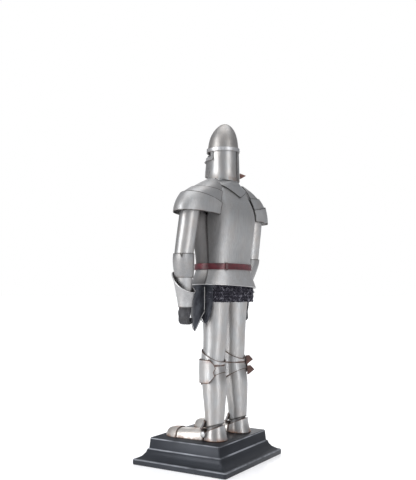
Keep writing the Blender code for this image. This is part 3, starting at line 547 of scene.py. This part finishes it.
def repeated(name, places, turns, unit, look):
    """One piece made of a small mesh repeated at places with turns, by Geometry Nodes."""
    mesh = bpy.data.meshes.new(name + "_points")
    mesh.from_pydata([tuple(np.asarray(p) * MM) for p in places], [], [])
    stored = mesh.attributes.new("turn", "FLOAT_VECTOR", "POINT")
    stored.data.foreach_set("vector", np.asarray(turns, float).ravel())
    holder = bpy.data.objects.new(name + "_points", mesh)
    shape = bpy.data.objects.new(name + "_unit", unit)
    bpy.context.scene.collection.objects.link(holder)
    bpy.context.scene.collection.objects.link(shape)
    tree, inputs = repeat_tree(name + "_repeat")
    step = holder.modifiers.new("repeat", "NODES")
    step.node_group = tree
    step[inputs["Shape"]] = shape
    step[inputs["Size"]] = 1.0
    step[inputs["Finish"]] = look
    graph = bpy.context.evaluated_depsgraph_get()
    made = bpy.data.meshes.new_from_object(holder.evaluated_get(graph))
    bpy.data.objects.remove(holder, do_unlink=True)
    bpy.data.objects.remove(shape, do_unlink=True)
    made.name = name
    made.shade_smooth()
    return link(name, made, look)


def facing(normal):
    """Turn that points a shape's Z along this direction."""
    return tuple(Vector(normal).to_track_quat("Z", "Y").to_euler())


def mail_ring():
    """One ring of round wire, with few faces because it is repeated over a thousand times."""
    turn = 2.0 * math.pi * np.arange(RING_CORNERS) / RING_CORNERS
    path = np.stack([np.cos(turn) * RING_RADIUS, np.sin(turn) * RING_RADIUS, np.zeros(RING_CORNERS)], axis=1)
    return mesh_of("ring", [rod(path, RING_WIRE, WIRE_SIDES, True)])


def rivet_head(radius, height, around=12, rows=4):
    """A domed rivet head, closed underneath."""
    verts, faces = [], []
    for i in range(rows):
        a = 0.5 * math.pi * i / rows
        for k in range(around):
            b = 2.0 * math.pi * k / around
            reach = radius * math.cos(a)
            verts.append((reach * math.cos(b), reach * math.sin(b), height * math.sin(a)))
    verts.append((0.0, 0.0, height))
    for i in range(rows - 1):
        for k in range(around):
            m = (k + 1) % around
            faces.append((i * around + k, i * around + m, (i + 1) * around + m, (i + 1) * around + k))
    top = (rows - 1) * around
    faces += [(top + k, top + (k + 1) % around, len(verts) - 1) for k in range(around)]
    faces.append(tuple(range(around))[::-1])
    return mesh_of("rivet", [(verts, faces)])


def round_point(angle, half_width, half_depth, power=2.0):
    """Point at an angle on an oval; a power above 2 squares it off."""
    c, s = math.cos(math.radians(angle)), math.sin(math.radians(angle))
    return (half_width * math.copysign(abs(c) ** (2.0 / power), c),
            half_depth * math.copysign(abs(s) ** (2.0 / power), s))


def round_normal(angle, half_width, half_depth, power=2.0):
    """Direction out of that oval."""
    ahead = np.array(round_point(angle + 0.5, half_width, half_depth, power))
    behind = np.array(round_point(angle - 0.5, half_width, half_depth, power))
    along = ahead - behind
    along /= np.linalg.norm(along)
    return np.array([along[1], -along[0], 0.0])


# Plates: node, level of rounding, rust, reach of the rust at the low edge and at the high edge, brown of
# handling, roughness, dark rim lines of painted gap shade with old oil and rust
PLATES = (
    ("helm_skull", 2, 0.25, 3.0, 2.0, 0.10, 0.30, 0.30),
    ("helm_barrel", 0, 0.75, 9.0, 2.0, 0.16, 0.24, 0.35),
    ("helm_brow_band", 2, 0.30, 2.0, 1.0, 0.05, 0.26, 0.35),
    ("helm_sight_frame", 0, 0.35, 2.0, 1.0, 0.08, 0.26, 0.50),
    ("helm_back_strip", 1, 0.45, 5.0, 1.0, 0.08, 0.26, 0.60),
    ("gorget_back", 2, 0.15, 2.0, 1.0, 0.06, 0.36, 0.90),
    ("gorget_front", 2, 0.15, 2.0, 1.0, 0.06, 0.36, 0.90),
    ("back_plate", 2, 0.20, 6.0, 3.0, 0.10, 0.38, 0.60),
    ("breast_plate", 2, 0.50, 10.0, 4.0, 0.15, 0.36, 0.60),
    ("fauld_back", 2, 0.50, 4.0, 2.0, 0.16, 0.34, 0.30),
    ("fauld_front", 2, 0.60, 6.0, 2.0, 0.15, 0.34, 0.40),
    ("belt_keeper", 1, 0.10, 1.0, 1.0, 0.0, 0.20, 0.30),
    ("belt_buckle", 0, 0.20, 1.0, 1.0, 0.0, 0.24, 0.40),
    ("pauldron_low", 2, 0.35, 4.0, 2.0, 0.10, 0.36, 0.95),
    ("pauldron_middle", 2, 0.25, 2.0, 2.0, 0.10, 0.36, 0.95),
    ("pauldron_top", 2, 0.20, 2.0, 2.0, 0.10, 0.36, 0.80),
    ("rerebrace", 2, 0.35, 8.0, 3.0, 0.16, 0.28, 0.50),
    ("elbow", 2, 0.30, 3.0, 2.0, 0.10, 0.32, 0.80),
    ("vambrace", 2, 0.30, 3.0, 2.0, 0.10, 0.32, 0.40),
    ("gauntlet_cuff", 2, 0.25, 3.0, 2.0, 0.08, 0.32, 0.40),
    ("cuisse", 2, 0.35, 5.0, 9.0, 0.16, 0.32, 0.70),
    ("knee_upper_lame", 2, 0.55, 4.0, 3.0, 0.12, 0.30, 0.95),
    ("knee_lower_lame", 2, 0.60, 4.0, 3.0, 0.14, 0.30, 0.95),
    ("poleyn", 2, 0.75, 8.0, 8.0, 0.12, 0.26, 1.00),
    ("greave", 2, 0.40, 6.0, 6.0, 0.18, 0.30, 0.90),
    ("sabaton", 2, 0.85, 7.0, 2.0, 0.20, 0.26, 0.80),
    ("toe_cap", 2, 0.85, 6.0, 2.0, 0.20, 0.26, 0.70),
    ("ankle_guard", 2, 0.60, 4.0, 3.0, 0.16, 0.28, 0.80),
    ("ankle_disc", 1, 0.50, 3.0, 1.0, 0.06, 0.22, 0.80),
    ("heel_plate", 2, 0.90, 7.0, 3.0, 0.18, 0.24, 0.90),
)


# Plates whose dark rim lines, painted gap shade with old dirt, are rust brown instead of oily
RUSTY_RIMS = (
    "knee_upper_lame", "knee_lower_lame", "poleyn", "sabaton", "toe_cap", "ankle_guard", "heel_plate",
)
# Plates whose steel is lighter or darker than the rest
PLATE_TONE = "#a9aaab"
PLATE_TONES = {
    "belt_keeper": "#6d5557",
    "helm_sight_frame": "#cfd0d2",
    "helm_brow_band": "#bfc0c2",
    "helm_skull": "#9c9b9a",
    "elbow": "#8f9091",
    "fauld_back": "#c6c7c8",
    "sabaton": "#d2cfcb",
    "toe_cap": "#d2cfcb",
}
# Painted shade on plates that darken towards their sides under the arms: from X, to X, how much
FLANK_SHADES = {
    "breast_plate": (40.0, 55.0, 0.85),
    "back_plate": (49.0, 61.0, 0.7),
    "fauld_front": (58.0, 70.0, 0.5),
}


def build_plates():
    """A finer, finished copy of every steel plate, with one steel for both sides of a pair."""
    for name, levels, rust, low, high, warm, rough, rim_soil_and_shade in PLATES:
        sides = [name] if name in NODES else ["left_" + name, "right_" + name]
        bottom, top = (corner.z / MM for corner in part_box(sides[0]))
        look = steel("brushed_steel_" + name, bottom, top, base=PLATE_TONES.get(name, PLATE_TONE), rust=rust,
                     rust_low=low, rust_high=high, warm=warm, rough=rough, rim_soil_and_shade=rim_soil_and_shade,
                     rim_soil_and_shade_tone=RUST_AND_GAP_SHADE if name in RUSTY_RIMS else OIL_AND_GAP_SHADE, flank_shade=FLANK_SHADES.get(name))
        for node in sides:
            piece = link(node + "_finish", smoothed(node, levels), look)
            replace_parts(piece, node)


def build_plinth():
    piece = link("plinth_finish", smoothed("plinth", 0), lacquer("black_satin_lacquer"))
    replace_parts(piece, "plinth")


# The mail skirt's outline: height, half width, half depth
MAIL_ROWS = (
    (281.0, 66.0, 44.0),
    (300.0, 66.3, 44.3),
    (314.0, 64.8, 43.2),
    (333.0, 60.2, 40.4),
)
MAIL_POWER = 2.4  # how square the outlines of the skirt, tassets and fauld are
LINING_LEVELS = (281.6, 333.0, 14)  # low edge, high edge, rings of points
LINING_SKINS = (0.9, 1.9)  # how far its two skins lie inside the skirt's outline
LINING_STEP = 4  # degrees between its points
RING_RADIUS = 2.15
RING_WIRE = 0.42  # half the wire's thickness
RING_CORNERS = 12
WIRE_SIDES = 5
RING_STEP = 3.5  # from ring to ring along a row
RING_SINK = 0.15  # the rings' middles lie this far inside the outline
RING_LOW = 283.0  # height of the lowest row
RING_ROWS = 13
ROW_STEP = 2.75
RING_TILT = 0.4  # radians, up in one row and down in the next
RING_LEAN = 0.2  # radians about the upright
# Random part of each ring's tilt, lean and height
TILT_SPREAD = 0.6
LEAN_SPREAD = 0.7
HEIGHT_SPREAD = 0.35
MAIL_SEED = 7


def mail_half(z):
    """Half width and half depth of the mail skirt at a height."""
    table = np.array(MAIL_ROWS)
    return np.interp(z, table[:, 0], table[:, 1]), np.interp(z, table[:, 0], table[:, 2])


def mail_look():
    """Oiled steel wire: dark blue-grey with bright worn spots."""
    look = Look("oiled_mail_wire")
    worn = look.noise(WIRE_WEAR, 3.0)
    tone = look.mixed(look.band(worn, 0.50, 0.66), linear("#37353f"), linear("#92919b"))
    look.set(base_color=tone, metallic=0.8, roughness=0.45)
    return look.material


def lining_look():
    """Dark plain-woven cotton behind the rings: matt, with faint threads."""
    look = Look("dark_lining_cloth")
    values = {"Vector": look.place, "Scale": WEAVE_THREADS, "Distortion": 0.6}
    weave = look.add("ShaderNodeTexWave", values).outputs["Fac"]
    tone = look.mixed(weave, linear("#14141a"), linear("#24242c"))
    look.set(base_color=tone, roughness=0.9)
    look.set(normal=look.bump(weave, 0.12))
    return look.material


def build_mail():
    """The lining, and rows of separate rings that lean by turns up and down with some disorder."""
    skins = [[], []]
    for z in np.linspace(*LINING_LEVELS):
        rx, ry = mail_half(z)
        for skin, inset in zip(skins, LINING_SKINS):
            angles = np.arange(0, 360, LINING_STEP)
            ring = [round_point(a, rx - inset, ry - inset, MAIL_POWER) for a in angles]
            skin.append([(x, BODY_Y + y, z) for x, y in ring])
    lining = link("mail_lining", mesh_of("mail_lining", [closed_wall(*skins)]), lining_look())
    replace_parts(lining, "mail_skirt")
    places, turns = [], []
    chance = random.Random(MAIL_SEED)
    fine = np.linspace(0.0, 360.0, 721)
    for row in range(RING_ROWS):
        z = RING_LOW + ROW_STEP * row
        rx, ry = mail_half(z)
        outline = (rx - RING_SINK, ry - RING_SINK, MAIL_POWER)
        line = np.array([round_point(a, *outline) for a in fine])
        reach = np.concatenate([[0.0], np.cumsum(np.linalg.norm(np.diff(line, axis=0), axis=1))])
        count = int(round(reach[-1] / RING_STEP))
        for k in range(count):
            angle = float(np.interp((k + 0.5 * (row % 2)) * reach[-1] / count, reach, fine))
            x, y = round_point(angle, *outline)
            normal = Vector(round_normal(angle, rx, ry, MAIL_POWER))
            along = Vector((-normal.y, normal.x, 0.0))
            tilt = (RING_TILT if row % 2 else -RING_TILT) + chance.uniform(-TILT_SPREAD, TILT_SPREAD)
            lean = RING_LEAN + chance.uniform(-LEAN_SPREAD, LEAN_SPREAD)
            leaned = Matrix.Rotation(lean, 3, "Z") @ (Matrix.Rotation(tilt, 3, along) @ normal)
            places.append((x, BODY_Y + y, z + chance.uniform(-HEIGHT_SPREAD, HEIGHT_SPREAD)))
            turns.append(facing(leaned))
    rings = repeated("mail_rings_fine", places, turns, mail_ring(), mail_look())
    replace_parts(rings, "mail_skirt")


# Tassets: name, middle angle, half spread in degrees, heights of the tip and the top, how far it stands off
TASSETS = (
    ("tasset_front", -21.0, 24.0, 231.0, 309.0, 2.2),
    ("tasset_side", 2.0, 15.5, 245.0, 309.0, 0.3),
)
TASSET_HALF = (67.5, 45.5)  # half width and half depth of the body that they lie on
TASSET_SHOULDER = 0.45  # share of the height at which a tasset is full width
RIM_INSET = 0.9  # degrees from the tasset's edge to its rim
RIM_LIFT = 0.15
RIM_RADIUS = 0.75
RIM_RIVETS = slice(3, -1, 3)  # rivets on every third point of the rim
RIVET_LEAN = 3.0  # degrees, towards the plate from the rim


def tasset_rim(sign, centre, spread, tip, top, half, edge):
    """Points up one edge of a tasset."""
    line = []
    for t in np.linspace(0.03, 0.97, 24):
        reach = spread * min(1.0, 0.04 + 0.96 * (t / TASSET_SHOULDER) ** 0.6)
        angle = centre + edge * max(0.2, reach - RIM_INSET)
        x, y = round_point(angle, half[0] + RIM_LIFT, half[1] + RIM_LIFT, MAIL_POWER)
        line.append((sign * x, BODY_Y + y, tip + (top - tip) * t))
    return line


def build_tassets():
    """Blackened tassets with a rim up each edge. The front pair's rims are bright, the rear one riveted."""
    look = blackened("blackened_steel_plate")
    rim_look = steel("worn_bright_rim", 230.0, 312.0, rust=0.3)
    places, turns = [], []
    for side, sign in (("left_", 1.0), ("right_", -1.0)):
        for name, centre, spread, tip, top, off in TASSETS:
            piece = link(side + name + "_finish", smoothed(side + name, 2), look)
            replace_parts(piece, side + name)
            bright = name == "tasset_front"
            half = (TASSET_HALF[0] + off, TASSET_HALF[1] + off)
            for edge, label in ((-1.0, "front"), (1.0, "rear")):
                line = tasset_rim(sign, centre, spread, tip, top, half, edge)
                rim = mesh_of("rim", [rod(line, RIM_RADIUS)])
                link(f"{side}{name}_{label}_rim", rim, rim_look if bright else look)
                if not bright or label == "front":
                    continue
                for x, y, z in line[RIM_RIVETS]:
                    angle = math.degrees(math.atan2(y - BODY_Y, sign * x))
                    normal = round_normal(angle - RIVET_LEAN, *half, MAIL_POWER)
                    normal[0] *= sign
                    places.append((x, y, z))
                    turns.append(facing(normal))
    repeated("tasset_rivets", places, turns, rivet_head(1.15, 1.0), rim_look)


GLOVE_CREASE = 60.0  # degrees: the gloves' edges are softer than the plates'


def build_leather():
    """The belt, the gloves and the strap ends, each with its own leather."""
    belt_look = leather("burgundy_belt_leather", "#3a1219", "#5f2029", 900.0, 0.06, 0.34)
    belt = link("waist_belt_leather", smoothed("waist_belt", 2), belt_look)
    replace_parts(belt, "waist_belt")
    glove_look = leather("black_glove_leather", "#141417", "#2e2e33", 1100.0, 0.12, 0.5)
    for node in ("left_gauntlet_glove", "right_gauntlet_glove"):
        glove = link(node + "_leather", smoothed(node, 1, GLOVE_CREASE), glove_look)
        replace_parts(glove, node)
    strap_look = leather("brown_strap_leather", "#3b2622", "#6b4a40", 1000.0, 0.1, 0.5)
    for node in ("right_knee_strap_upper", "right_knee_strap_lower", "helm_strap_end"):
        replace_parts(link(node + "_leather", smoothed(node, 0), strap_look), node)


# Mouth of the left cuff: middle across and in depth, height, radius, slope with depth, sag at its two sides
CUFF_MOUTH = (106.9, 14.6, 315.0, 19.6, 0.9, 4.0)
CUFF_SAG_DEPTH = 19.8  # the sag is gone this far from the middle in depth
CUFF_ROLL = 0.95
# Low edge of the fauld: half width, half depth, height, slope towards the left
FAULD_EDGE = (73.5, 49.9, 308.8, 0.04)
FAULD_ROLL = 0.8
ROLL_STEP = 5.0  # degrees


def build_rims():
    """Rolled edges of the cuffs and the fauld."""
    look = steel("polished_rolled_edge", 0.0, 608.0, base="#c9cacb", rust=0.5, rough=0.2)
    around = np.arange(0.0, 360.0, ROLL_STEP)
    cx, cy, height, radius, slope, sag = CUFF_MOUTH
    for side, sign in (("left_", 1.0), ("right_", -1.0)):
        line = []
        for a in around:
            x, y = round_point(a, radius, radius)
            z = height - slope * y - sag * (1.0 - (y / CUFF_SAG_DEPTH) ** 2)
            line.append((sign * (cx + x), cy + y, z))
        link(side + "cuff_roll", mesh_of("roll", [rod(line, CUFF_ROLL, 8, True)]), look)
    half_width, half_depth, height, slope = FAULD_EDGE
    points = [round_point(a, half_width, half_depth, MAIL_POWER) for a in around]
    line = [(x, BODY_Y + y, height + slope * x) for x, y in points]
    link("fauld_roll", mesh_of("roll", [rod(line, FAULD_ROLL, 8, True)]), look)


ANKLE_BAND = 14.0  # the greave's lowest part, whose outline the lining follows
ANKLE_ROOM = 2.4  # how far the lining lies inside that outline
ANKLE_DROP = 9.0  # how far it reaches below the greave
ANKLE_RISE = 12.0
ANKLE_WALL = 1.2
ANKLE_STEP = 10.0  # degrees between its points


def build_ankle_linings():
    """Steel inside each ankle, seen in the gap between the greave and the heel plate."""
    look = steel("ankle_lining_steel", 40.0, 90.0, base="#8b8c8e", rust=0.6, rough=0.38)
    for side in ("left_", "right_"):
        points = np.array([v.co for v in NODES[side + "greave"].data.vertices]) / MM
        low = points[points[:, 2] < points[:, 2].min() + ANKLE_BAND]
        middle = 0.5 * (low.min(axis=0) + low.max(axis=0))
        half = 0.5 * (low.max(axis=0) - low.min(axis=0)) - ANKLE_ROOM
        levels = (low[:, 2].min() - ANKLE_DROP, low[:, 2].min() + ANKLE_RISE)
        angles = np.arange(0.0, 360.0, ANKLE_STEP)
        skins = []
        for inset in (0.0, ANKLE_WALL):
            ring = [round_point(a, half[0] - inset, half[1] - inset) for a in angles]
            skins.append([[(middle[0] + x, middle[1] + y, z) for x, y in ring] for z in levels])
        link(side + "ankle_lining", mesh_of("lining", [closed_wall(*skins)]), look)


HELM_HALF = (29.15, 31.05)  # half width and half depth of the brow band
HELM_RIVET_HEIGHT = 556.8
HELM_RIVET_ANGLES = (-150.0, -120.0, -60.0, -30.0, 0.0, 30.0, 60.0, 120.0, 150.0, 180.0)


def build_rivets():
    """Rivets round the helm's brow."""
    look = steel("polished_rivet_heads", 0.0, 608.0, base="#c2c3c5", rust=0.2, rough=0.22)
    places, turns = [], []
    for angle in HELM_RIVET_ANGLES:
        x, y = round_point(angle, *HELM_HALF)
        places.append((x, HELM_Y + y, HELM_RIVET_HEIGHT))
        turns.append(facing(round_normal(angle, *HELM_HALF)))
    repeated("helm_rivets", places, turns, rivet_head(0.9, 0.7), look)


build_camera()
build_light()
build_floor()
build_plates()
build_plinth()
build_mail()
build_tassets()
build_leather()
build_rims()
build_ankle_linings()
build_rivets()
